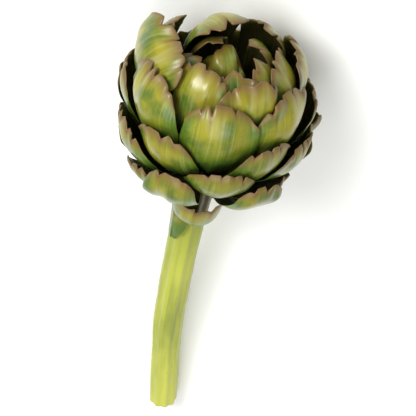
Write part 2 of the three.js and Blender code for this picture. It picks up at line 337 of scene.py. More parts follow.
@dataclass(frozen=True)
class StalkSkin:
    """Fresh stalk skin: pale green ribbed plant tissue, smooth and a little waxy, with white pith at the cut.

    Its strands run the whole length and show as yellow-green lines. It is greener near the head, and painted
    shade makes it dark brown right next to the head.
    """

    name: str = "stalk_skin"
    pale: str = "#b6ba4e"
    lime: str = "#afbf30"
    green: str = "#8a9340"
    head_green: str = "#868f30"
    pith: str = "#d1d35e"
    brown: str = "#86692f"
    # Painted shade: dark brown where the head shades the stalk.
    shade_under_head: str = "#5c4a1e"

    def build(self) -> bpy.types.Material:
        """Returns the material. It reads the places that the stalk stores."""
        material = bpy.data.materials.new(self.name)
        material.use_nodes = True
        tree = material.node_tree
        shader = tree.nodes["Principled BSDF"]
        place = add_node(tree, "ShaderNodeAttribute", {"attribute_name": "stalk_place"}).outputs["Vector"]
        along = add_node(tree, "ShaderNodeSeparateXYZ", inputs={0: place}).outputs[1]

        # How wide and how long each mark is, in millimetres.
        noises = {}
        for name, width, length, detail in (
            ("strand", 2.0, 170.0, 3.0), ("blotch", 16.0, 80.0, 3.0), ("speck", 1.7, 8.0, 2.0),
        ):
            scaled = add_node(
                tree, "ShaderNodeMapping", inputs={"Vector": place, "Scale": (1 / width, 1 / length, 1.0)}
            )
            noises[name] = add_node(
                tree, "ShaderNodeTexNoise",
                inputs={0: scaled.outputs[0], "Scale": 1.0, "Detail": detail, "Roughness": 0.55},
            ).outputs[0]

        body = linear(self.green)
        for value, low, high, most, colour in (
            (noises["blotch"], 0.3, 0.6, 1.0, self.pale),
            (noises["strand"], 0.52, 0.7, 0.65, self.lime),
            (noises["strand"], 0.46, 0.3, 0.4, self.green),
            (along, 75.0, 20.0, 0.8, self.head_green),
            # Painted shade next to the head.
            (along, 26.0, 18.0, 0.9, self.shade_under_head),
            (noises["speck"], 0.66, 0.78, 0.6, self.brown),
            (along, 110.0, 215.0, 0.6, self.pith),
        ):
            share = add_node(
                tree, "ShaderNodeMapRange", SMOOTH,
                {"Value": value, "From Min": low, "From Max": high, "To Max": most},
            )
            body = add_node(
                tree, "ShaderNodeMix", COLOURS, {0: share.outputs[0], 6: body, 7: linear(colour)}
            ).outputs[2]
        tree.links.new(body, shader.inputs["Base Color"])
        bump = add_node(
            tree, "ShaderNodeBump", inputs={"Strength": 0.4, "Distance": 0.5 * MM, "Height": noises["strand"]}
        )
        tree.links.new(bump.outputs[0], shader.inputs["Normal"])
        shader.inputs["Roughness"].default_value = 0.42
        shader.inputs["IOR"].default_value = 1.45
        return material


@dataclass(frozen=True)
class MattePaper:
    """Matte white studio paper, so fine that no grain shows."""

    name: str = "studio_paper"
    colour: str = "#f7f7f5"

    def build(self) -> bpy.types.Material:
        """Returns the material."""
        material = bpy.data.materials.new(self.name)
        material.use_nodes = True
        shader = material.node_tree.nodes["Principled BSDF"]
        shader.inputs["Base Color"].default_value = linear(self.colour)
        shader.inputs["Roughness"].default_value = 0.9
        return material


# ---- Bracts ----


class Tips(Enum):
    """How the tips of a ring's bracts end."""

    POINTED = "pointed"
    TORN = "torn"
    PLAIN = "plain"


@dataclass(frozen=True)
class Ring:
    """A ring of bracts.

    Attributes:
        name: the start of the names of its nodes.
        foot: radius and height where the bracts leave the heart.
        foot_angle: direction they leave in, in degrees from the head's axis.
        tip_reach: distance of the tips from the head's centre.
        flare: how far the tips turn away from the head's round, in degrees.
        bow: how strongly the midrib follows its two end directions.
        half_width: half the width at the widest.
        cup: radius of the cross-section.
        thickness: at the midrib.
        bracts: azimuth, the tip's polar angle and its lean sideways in degrees, and how much farther out
            the tip lies than its ring's, for each.
        tips: how the tips end.
        sunned: how far the bracts have yellowed, from 0 to 1.
        tip_arc: how much shorter the sides are than the middle, as a share of the length.
    """

    name: str
    foot: tuple[float, float]
    foot_angle: float
    tip_reach: float
    flare: float
    bow: tuple[float, float]
    half_width: float
    cup: float
    thickness: float
    bracts: tuple[tuple[float, float, float, float], ...]
    tips: Tips = Tips.TORN
    sunned: float = 0.5
    tip_arc: float = 0.14


RINGS = (
    Ring(
        "bud_bract", (6.5, -21.5), 14, 28.5, -4, (1.15, 1.15), 9, 9, 1.2,
        ((-166, 0, 6, 0), (104, -2, -4, 0), (-76, -5, -5, 0), (20, -9, 4, 1)), Tips.POINTED, 0.5,
    ),
    Ring(
        "inner_bract", (11.5, -22), 30, 38, -8, (1.2, 1.2), 14, 14, 1.4,
        ((-135, 6, -4, 1), (122, 17, 6, 5), (60, 19, 6, 7), (-60, 20, -8, 1), (10, 20, 10, -1)),
        Tips.POINTED, 0.6,
    ),
    Ring(
        "upper_bract", (15.8, -23.2), 42, 46, -8, (1.1, 1.15), 19, 18, 1.5,
        (
            (-140, 1, -6, 9), (143, 30, 4, 5), (-96, 34, -24, 7), (87, 28, 0, 4), (-19, 26, -6, 3),
            (33, 34, -6, 2),
        ),
        Tips.TORN, 0.75,
    ),
    Ring(
        "shoulder_bract", (18.2, -27.2), 54, 47.5, -9, (1.0, 1.15), 21, 21, 1.6,
        (
            (180, 60, 4, 0), (112, 39, -2, 7), (-86, 29, 30, -1), (60, 46, 0, 5), (-50, 46, -6, 5),
            (7, 46, 0, 4),
        ),
        Tips.TORN, 0.75,
    ),
    Ring(
        "side_bract", (17.5, -30.8), 70, 49.5, -12, (1.0, 1.0), 19.5, 24, 1.6,
        (
            (155, 67, 2, 0), (-148, 76, -4, 0), (106, 70, 2, 2), (-95, 72, -3, 2), (40, 73, 2, 1),
            (-25, 73, -6, 1),
        ),
        Tips.TORN, 0.4,
    ),
    Ring(
        "lower_bract", (15.8, -34.4), 84, 49.5, -22, (1.05, 1.0), 19, 25, 1.6,
        (
            (-172, 84, 2, 0), (130, 82, -3, 0), (-115, 86, 3, 0), (68, 84, 4, 2), (-57, 87, -4, 2),
            (14, 88, 0, 2),
        ),
        Tips.TORN, 0.35,
    ),
    Ring(
        "skirt_bract", (13.6, -38), 98, 47.5, -30, (1.05, 1.05), 15.5, 22, 1.5,
        (
            (160, 95, 3, 0), (-140, 97, -3, 0), (100, 94, 3, 0), (-82, 104, -3, 0), (55, 110, 8, 3),
            (-37, 109, -8, 3),
        ),
        Tips.TORN, 0.35,
    ),
    Ring(
        "base_bract", (11.2, -41.6), 106, 47, -34, (1.1, 1.05), 14.5, 21, 1.5,
        ((-172, 112, 0, 0), (124, 113, 3, 0), (-108, 116, -3, 0), (41, 102, 0, 5), (-16, 98, 0, 4)),
        Tips.TORN, 0.3,
    ),
    Ring(
        "neck_bract", (10.5, -71.5), 102, 57, -58, (1.4, 1.1), 17, 14.5, 1.3,
        ((4, 152, 3, 0), (152, 152, -3, 0), (-128, 152, 3, 0)), Tips.TORN, 0.6, -0.25,
    ),
    Ring(
        "stalk_leaf_base", (11.9, -95), 1, 74, -78, (1, 0.8), 8, 11.2, 1.4,
        ((-48, 170.9, 0, 0),), Tips.PLAIN, 0.6,
    ),
)


@dataclass
class BractShape:
    """One bract: its free shape and, once pressed, how far each part of it is moved outwards.

    Attributes:
        ring: the ring it grows in.
        place: its place in the ring, from 0.
        number: its place in the whole head, from 1 at the bud.
    """

    ring: Ring
    place: int
    number: int
    tip_squareness: float = 4.0
    foot_width: float = 0.34
    widest_at: float = 0.64
    tip_width: float = 0.9
    columns: int = 8
    rows: int = 7
    presses: np.ndarray = field(default_factory=lambda: np.zeros((8, 9)))

    def __post_init__(self) -> None:
        """Works out this bract's own sizes from its ring's."""
        self.azimuth, self.tip_polar, self.lean, rise = self.ring.bracts[self.place]
        reach = self.ring.tip_reach + rise + 0.8 * variation(self.number, 1)
        polar = math.radians(self.tip_polar)
        self.tip = (reach * math.sin(polar), reach * math.cos(polar))
        self.tip_angle = self.tip_polar - 90 + self.ring.flare + 5 * variation(self.number, 2)
        self.half_width = self.ring.half_width * (1 + 0.05 * variation(self.number, 3))
        self.roll = 0.08 * variation(self.number, 4)
        shares = np.linspace(0, 1, 60)
        radius, height, _ = self.midrib(shares)
        self.length = float(np.hypot(np.diff(radius), np.diff(height)).sum())

    @property
    def node(self) -> str:
        """The name of the CAD node that this bract stands for."""
        return f"{self.ring.name}_{self.place + 1}" if len(self.ring.bracts) > 1 else self.ring.name

    def midrib(self, share: np.ndarray) -> tuple[np.ndarray, np.ndarray, np.ndarray]:
        """Gives the midrib in the plane of its azimuth.

        Args:
            share: where along it, from 0 at the foot to 1 at the tip.

        Returns:
            Radius, height and direction there.
        """
        foot, tip = self.ring.foot, self.tip
        chord = math.hypot(tip[0] - foot[0], tip[1] - foot[1])
        ends = []
        for angle, bow in zip((self.ring.foot_angle, self.tip_angle), self.ring.bow):
            turned = math.radians(angle)
            ends.append((bow * chord * math.sin(turned), bow * chord * math.cos(turned)))
        start_blend = 2 * share**3 - 3 * share**2 + 1
        place, slope = [], []
        for k in (0, 1):
            place.append(
                foot[k] * start_blend
                + ends[0][k] * (share**3 - 2 * share**2 + share)
                + tip[k] * (1 - start_blend)
                + ends[1][k] * (share**3 - share**2)
            )
            slope.append(
                6 * (share - share**2) * (tip[k] - foot[k])
                + ends[0][k] * (3 * share**2 - 4 * share + 1)
                + ends[1][k] * (3 * share**2 - 2 * share)
            )
        return place[0], place[1], np.arctan2(slope[0], slope[1])

    def width_at(self, along: np.ndarray) -> np.ndarray:
        """Returns half the width at a share of the length."""
        to_tip = (1 - self.tip_width) * (np.clip(along - self.widest_at, 0, 1) / (1 - self.widest_at)) ** 2
        to_foot = (1 - self.foot_width) * (np.clip(self.widest_at - along, 0, 1) / self.widest_at) ** 1.3
        return self.half_width * (1 - to_tip - to_foot)

    def free_points(self, across: np.ndarray, along: np.ndarray) -> np.ndarray:
        """Gives points of the middle surface before it is pressed.

        Args:
            across: from -1 to 1 across the bract.
            along: from 0 at the foot to 1 at the tip, in an array of the same shape.

        Returns:
            The points, in an array that ends in 3.
        """
        share = along * (1 - self.ring.tip_arc * np.abs(across) ** self.tip_squareness)
        radius, height, angle = self.midrib(share)
        azimuth = np.radians(self.azimuth + self.lean * (share - 0.4))
        reach = across * self.width_at(along)
        turned = azimuth + reach / np.maximum(radius, 6)
        foot = np.stack([radius * np.cos(turned), radius * np.sin(turned), height], -1)
        outwards = np.stack([np.cos(azimuth), np.sin(azimuth), 0 * azimuth], -1)
        sideways = np.stack([-np.sin(azimuth), np.cos(azimuth), 0 * azimuth], -1)
        facing = outwards * np.cos(angle)[..., None]
        facing[..., 2] = -np.sin(angle)
        bend = reach / self.ring.cup
        side = self.ring.cup * np.sin(bend)
        depth = self.ring.cup * (1 - np.cos(bend)) + self.roll * side
        cup = outwards * radius[..., None] + sideways * side[..., None] - facing * depth[..., None]
        cup[..., 2] += height
        share_of_cup = smoothstep(along, 0, 0.35)[..., None]
        return foot * (1 - share_of_cup) + cup * share_of_cup

    def control_points(self) -> np.ndarray:
        """Returns the middle surface as rows of a few points, pressed outwards as far as it is so far."""
        along, across = np.meshgrid(
            np.linspace(0, 1, self.rows + 1), np.linspace(-1, 1, self.columns + 1), indexing="ij"
        )
        points = self.free_points(across, along)
        distance = np.linalg.norm(points, axis=-1, keepdims=True)
        return points * (1 + self.presses[..., None] / distance)

    def pressed_points(self, across: np.ndarray, along: np.ndarray) -> np.ndarray:
        """Gives points of the middle surface once pressed.

        Args:
            across: from -1 to 1, one value for each column.
            along: from 0 to 1, in an array of rows by columns.

        Returns:
            The points, in an array of rows by columns by 3.
        """
        points = self.free_points(np.broadcast_to(across, along.shape), along)
        by_column = self.presses @ cubic_weights((across + 1) / 2, self.columns + 1).T
        press = np.empty(along.shape)
        for column in range(along.shape[1]):
            press[:, column] = cubic_weights(along[:, column], self.rows + 1) @ by_column[:, column]
        distance = np.linalg.norm(points, axis=-1, keepdims=True)
        return points * (1 + np.maximum(press, 0)[..., None] / distance)


@dataclass
class Nest:
    """Keeps each bract clear of those inside it.

    Attributes:
        boxes: boxes along each axis of a unit sphere, into which directions are sorted.
        samples: steps across and along each cell of a surface.
        clearance: the gap that is kept, in millimetres.
        passes: times that each bract is pressed.
    """

    boxes: int = 40
    samples: int = 9
    clearance: float = 0.5
    passes: int = 4
    squareness: float = 0.45
    stiffness: float = 0.3

    def __post_init__(self) -> None:
        """Starts with nothing in the head."""
        self.farthest = np.zeros((2 * self.boxes + 3,) * 3)
        steps = np.linspace(0, 1, self.samples + 1)
        along, across = np.meshgrid(steps, steps, indexing="ij")
        self.shares = np.stack(
            [(1 - along) * (1 - across), (1 - along) * across, along * (1 - across), along * across]
        )

    def spread(self, points: np.ndarray, thickness: float) -> tuple[np.ndarray, np.ndarray, tuple]:
        """Spreads points over each cell of a surface.

        Args:
            points: the surface, in rows of points.
            thickness: the bract's.

        Returns:
            The points, half the thickness measured away from the head's centre, and the boxes of their
            directions.
        """
        corners = np.stack([points[:-1, :-1], points[:-1, 1:], points[1:, :-1], points[1:, 1:]])
        spread = np.einsum("kij,krcx->rcijx", self.shares, corners)
        facing = unit(np.cross(corners[0] - corners[3], corners[2] - corners[1]))
        distance = np.linalg.norm(spread, axis=-1)
        square = np.abs(np.einsum("rcx,rcijx->rcij", facing, spread)) / distance
        room = thickness / 2 / np.maximum(square, self.squareness)
        scaled = self.boxes * spread / distance[..., None]
        box = np.floor(scaled + 0.5).astype(int) + self.boxes + 1
        return distance, room, (box[..., 0], box[..., 1], box[..., 2])

    def lay(self, bract: BractShape) -> None:
        """Presses a bract outwards until it is clear of what lies under it, and adds it to the head.

        Args:
            bract: the bract, whose presses are filled in.
        """
        free = smoothstep(np.arange(bract.rows + 1) / bract.rows, 0, 0.2)[:, None]
        whole = (self.shares**2).sum(0)
        for _ in range(self.passes):
            distance, room, box = self.spread(bract.control_points(), bract.ring.thickness)
            under = self.farthest[box]
            press = np.where(under > 0, under + room + self.clearance - distance, 0).clip(0)
            more = np.zeros(bract.presses.shape)
            for k, (row, column) in enumerate(((0, 0), (0, 1), (1, 0), (1, 1))):
                most = (press * self.shares[k] / whole).max(axis=(2, 3))
                window = more[row : row + bract.rows, column : column + bract.columns]
                np.maximum(window, most, out=window)
            more = np.maximum(more, self.stiffness * more.max(axis=1, keepdims=True))
            bract.presses = bract.presses + free * more
        distance, room, box = self.spread(bract.control_points(), bract.ring.thickness)
        np.maximum.at(self.farthest, box, distance + room)


@dataclass
class Blade:
    """The finished blade of a bract: its toothed outline, pleats and thin rolled edge.

    Attributes:
        shape: the bract.
        columns: points across.
        rows: points from foot to tip.
        rim: thickness at the edge, in millimetres.
    """

    shape: BractShape
    columns: int = 77
    rows: int = 44
    rim: float = 0.35

    def __post_init__(self) -> None:
        """Draws this blade's own outline and spaces its columns so that every tooth and notch has one."""
        self.random = np.random.default_rng(1000 + self.shape.number)
        places, drops = self.draw_outline()
        counts = np.maximum(1, np.round(np.diff(places) / 2 * (self.columns - 1))).astype(int)
        steps = [np.linspace(a, b, n, endpoint=False) for a, b, n in zip(places[:-1], places[1:], counts)]
        self.across = np.concatenate([*steps, [1.0]])
        self.end = 1 - np.interp(self.across, places, drops) / self.shape.length
        self.teeth = places

    def draw_outline(self) -> tuple[np.ndarray, np.ndarray]:
        """Draws the outline of the tip.

        Returns:
            Places across the blade, and how far back from a plain tip the outline lies at each, in
            millimetres.
        """
        shape, random = self.shape, self.random
        if shape.ring.tips is Tips.PLAIN:
            return np.array([-1.0, 0.0, 1.0]), np.zeros(3)
        span = 0.86
        half = shape.half_width * shape.tip_width
        if shape.ring.tips is Tips.POINTED:
            places = np.array([-1, -0.6, -0.34, -0.28, 0.02, 0.3, 0.36, 0.7, 1])
            return places, np.array([10, 5.5, 2.8, 4.4, 0, 1.6, 4.0, 6.5, 10]) * half / 9
        count = max(3, round(2 * span * half / 6.6))
        bounds = np.linspace(-span, span, count + 1)
        bounds[1:-1] += random.uniform(-0.36, 0.36, count - 1) * 2 * span / count
        places, drops = [-1.0], [random.uniform(0.5, 1.5)]
        crown = random.uniform(-0.6, 1.0, count)
        for k in range(1, count):
            depth = 1.2 + 5.5 * random.random() ** 1.5
            slit = random.uniform(0.7, 3.4, 2) / half
            gap = np.diff(bounds)[k - 1 : k + 1]
            near, far = np.minimum(slit, 0.42 * gap)
            places += [bounds[k] - near, bounds[k], bounds[k] + far]
            drops += [crown[k - 1], max(depth, 1.5 + crown[k]), crown[k]]
        places.append(1.0)
        drops.append(random.uniform(0.5, 1.5))
        return np.array(places), np.array(drops)

    def middle(self) -> tuple[np.ndarray, np.ndarray, np.ndarray]:
        """Makes the middle surface with its pleats and dents.

        Returns:
            The points, how far along each is, and how far it is from the toothed edge in millimetres.
        """
        shape = self.shape
        steps = 1 - (1 - np.linspace(0, 1, self.rows)) ** 1.15
        end = self.end
        along = steps[:, None] * end[None, :]
        points = shape.pressed_points(self.across, along)
        outwards = self.outwards(points)
        u = np.broadcast_to(self.across, along.shape)
        width = shape.width_at(along)
        pleats = np.zeros(along.shape)
        for _ in range(3):
            waves = self.random.uniform(2.2, 4.2)
            phase = self.random.uniform(0, 2 * math.pi)
            pleats += np.cos(waves * math.pi * u + phase + 0.8 * along)
        lift = 0.16 * (pleats + 3) * smoothstep(along, 0.35, 1) * np.minimum(width / 16, 1)
        dents = np.zeros(along.shape)
        for _ in range(4):
            waves = self.random.uniform(0.6, 1.6, 2)
            phase = self.random.uniform(0, 2 * math.pi, 2)
            dents += np.cos(waves[0] * 3 * u + phase[0]) * np.cos(waves[1] * 5 * along + phase[1])
        lift += 0.14 * (dents + 2) * smoothstep(along, 0.1, 0.5)
        lift += 0.5 * np.exp(-((u / 0.13) ** 2)) * smoothstep(along, 1, 0.25)
        from_edge = (end[None, :] - along) * shape.length
        curl = np.interp(self.across, self.teeth, self.random.uniform(-0.6, 1.4, len(self.teeth)))
        lift += curl[None, :] * smoothstep(along, 0.86, 1.02)
        return points + outwards * lift[..., None], along, from_edge

    @staticmethod
    def outwards(points: np.ndarray) -> np.ndarray:
        """Returns the direction square to a surface of rows of points, on its outer side."""
        return unit(np.cross(np.gradient(points, axis=1), np.gradient(points, axis=0)))

    def build(self, place: HeadFrame, material: bpy.types.Material) -> bpy.types.Object:
        """Makes the closed mesh of the blade.

        Args:
            place: where the head lies.
            material: its finish.

        Returns:
            The blade, at the origin of the row frame.
        """
        points, along, from_edge = self.middle()
        rows, columns = along.shape
        outwards = self.outwards(points)
        u = np.broadcast_to(self.across, along.shape)
        from_side = (1 - np.abs(u)) * self.shape.width_at(along)
        mid = self.shape.ring.thickness * (1.15 - 0.35 * along)
        from_tip = (1.04 - along) * self.shape.length
        thick = self.rim + (mid - self.rim) * smoothstep(np.minimum(from_side, from_tip), 0, 6)
        outer = points + outwards * thick[..., None] / 2
        inner = points - outwards * thick[..., None] / 2

        index = np.arange(rows * columns).reshape(rows, columns)
        border = np.concatenate([index[0, :-1], index[:-1, -1], index[-1, :0:-1], index[:0:-1, 0]])
        flat, facing, half = points.reshape(-1, 3), outwards.reshape(-1, 3), thick.reshape(-1) / 2
        line = flat[border]
        run = unit(np.roll(line, -1, axis=0) - np.roll(line, 1, axis=0))
        away = unit(np.cross(run, facing[border]))
        loops = []
        for turn in (45, 90, 135):
            angle = math.radians(turn)
            step = facing[border] * math.cos(angle) + away * math.sin(angle)
            loops.append(line + step * half[border][:, None])
        count, around = rows * columns, len(border)
        verts = np.concatenate([outer.reshape(-1, 3), inner.reshape(-1, 3), *loops])

        quads = np.stack([index[:-1, :-1], index[:-1, 1:], index[1:, 1:], index[1:, :-1]], -1).reshape(-1, 4)
        strips = [border, *(2 * count + k * around + np.arange(around) for k in range(3)), border + count]
        faces = [quads, quads[:, ::-1] + count]
        for near, far in zip(strips[:-1], strips[1:]):
            faces.append(np.stack([np.roll(near, -1), near, far, np.roll(far, -1)], -1))

        def marked(values: np.ndarray) -> np.ndarray:
            """Returns one value for each vertex from one for each point of the middle surface."""
            flat_values = values.reshape(-1)
            return np.concatenate([flat_values, flat_values, *([flat_values[border]] * 3)])

        mesh = make_mesh(self.shape.node + "_blade", place.to_row(verts), np.concatenate(faces), material)
        edges = [np.full(around, depth) for depth in (0.15, 0.5, 0.85)]
        inside = np.concatenate([np.zeros(count), np.ones(count), *edges])
        across_mm = marked(u * self.shape.width_at(along))
        along_mm = marked(along * self.shape.length)
        tone = np.full(len(verts), self.shape.ring.sunned + 0.25 * variation(self.shape.number, 5))
        offset = 37.0 * self.shape.number
        store(mesh, "blade", np.stack([across_mm, along_mm, np.full(len(verts), offset)], -1))
        store(mesh, "marks", np.stack([marked(along), inside, tone], -1))
        closeness = np.exp(-marked(from_edge) / 6.0)
        store(mesh, "edge", closeness)
        store(mesh, "centre", marked(1 - np.abs(u) ** 1.7))
        return add_object(mesh)


# ---- Meshes ----


def make_mesh(
    name: str, verts: np.ndarray, faces: np.ndarray, material: bpy.types.Material
) -> bpy.types.Mesh:
    """Makes a smooth mesh.

    Args:
        name: its name.
        verts: its points, in metres in the row frame.
        faces: its faces, all with the same number of corners.
        material: its finish.

    Returns:
        The mesh.
    """
    mesh = bpy.data.meshes.new(name)
    corners = faces.shape[1]
    mesh.vertices.add(len(verts))
    mesh.vertices.foreach_set("co", verts.astype(np.float32).ravel())
    mesh.loops.add(faces.size)
    mesh.loops.foreach_set("vertex_index", faces.astype(np.int32).ravel())
    mesh.polygons.add(len(faces))
    mesh.polygons.foreach_set("loop_start", np.arange(0, faces.size, corners, dtype=np.int32))
    mesh.polygons.foreach_set("use_smooth", np.ones(len(faces), dtype=bool))
    mesh.update(calc_edges=True)
    mesh.validate()
    mesh.materials.append(material)
    return mesh


def store(mesh: bpy.types.Mesh, name: str, values: np.ndarray) -> None:
    """Stores a number or a vector on each vertex of a mesh.

    Args:
        mesh: the mesh.
        name: the attribute's name.
        values: one value or one row of three for each vertex.
    """
    vector = values.ndim == 2
    attribute = mesh.attributes.new(name, "FLOAT_VECTOR" if vector else "FLOAT", "POINT")
    attribute.data.foreach_set("vector" if vector else "value", values.astype(np.float32).ravel())


def add_object(mesh: bpy.types.Mesh) -> bpy.types.Object:
    """Returns a new object of the scene that shows a mesh."""
    piece = bpy.data.objects.new(mesh.name, mesh)
    bpy.context.scene.collection.objects.link(piece)
    return piece


def settle_piece(piece: bpy.types.Object, node: str) -> None:
    """Hangs a finished piece on the frame in place of its CAD node.

    Args:
        piece: the piece.
        node: the CAD node that it stands for.
    """
    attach(piece, BODY)
    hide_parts(node)
    LOG.info("%s stands for %s", piece.name, node)


# ---- The head ----


@dataclass
class Head:
    """The rings of bracts."""

    place: HeadFrame
    nest: Nest = field(default_factory=Nest)

    def build(self) -> None:
        """Lays the bracts from the bud outwards and makes the blade of each."""
        outer = BractSkin("outer_bract_skin").build()
        inner = BractSkin("inner_bract_skin", green="#6f7d2a", sunned="#948c26", sunning=0.9).build()
        number = 0
        for depth, ring in enumerate(RINGS):
            for place in range(len(ring.bracts)):
                number += 1
                shape = BractShape(ring, place, number)
                self.nest.lay(shape)
                is_inner = depth < 3
                piece = Blade(shape).build(self.place, inner if is_inner else outer)
                settle_piece(piece, shape.node)


@dataclass
class BudCore:
    """The closed middle of the bud: young bracts wrapped so tightly that only their edges tell them apart."""

    place: HeadFrame
    sides: int = 48
    rows: int = 40
    outline: tuple[tuple[float, float], ...] = (
        (3.5, -20.0), (5.0, -12.0), (5.4, 0.0), (4.6, 11.0), (2.8, 18.0), (0.9, 21.5), (0.12, 22.9),
    )

    def build(self) -> None:
        """Makes the bud's core."""
        knots = np.array(self.outline)
        low, high = knots[0, 1], knots[-1, 1]
        heights = np.linspace(low, high, self.rows)
        radius = np.interp(heights, knots[:, 1], knots[:, 0])
        turn = np.linspace(0, 2 * math.pi, self.sides, endpoint=False)
        fold = 0.35 * np.abs(np.sin(1.5 * (turn[None, :] + heights[:, None] / 14)))
        reach = radius[:, None] * (1 - 0.25 * fold)
        ring = np.stack(
            [reach * np.cos(turn), reach * np.sin(turn), np.broadcast_to(heights[:, None], reach.shape)], -1
        )
        count = self.rows * self.sides
        index = np.arange(count).reshape(self.rows, self.sides)
        right = np.roll(index, -1, axis=1)
        sides = np.stack([index[:-1], right[:-1], right[1:], index[1:]], -1).reshape(-1, 4)
        ends = np.array([[0, 0, heights[0]], [0, 0, heights[-1] + 0.1]])
        verts = np.concatenate([ring.reshape(-1, 3), ends])
        bottom = np.stack([right[0], index[0], np.full(self.sides, count)], -1)
        top = np.stack([index[-1], right[-1], np.full(self.sides, count + 1)], -1)
        triangles = np.concatenate(
            [sides[:, [0, 1, 2]], sides[:, [0, 2, 3]], bottom, top]
        )
        skin = BractSkin("bud_core_skin", green="#6f7d2a", sunned="#948c26").build()
        mesh = make_mesh("bud_core_folds", self.place.to_row(verts), triangles, skin)
        around_mm = np.concatenate([np.tile(turn * 4, self.rows), [0, 0]])
        along_mm = np.concatenate([np.repeat(heights - low, self.sides), [0, high - low]])
        store(mesh, "blade", np.stack([around_mm, along_mm, np.zeros(len(verts))], -1))
        marks = [along_mm / (high - low), np.zeros(len(verts)), np.full(len(verts), 0.5)]
        store(mesh, "marks", np.stack(marks, -1))
        store(mesh, "edge", np.zeros(len(verts)))
        store(mesh, "centre", np.ones(len(verts)))
        settle_piece(add_object(mesh), "bud_core")


# ---- The stalk ----


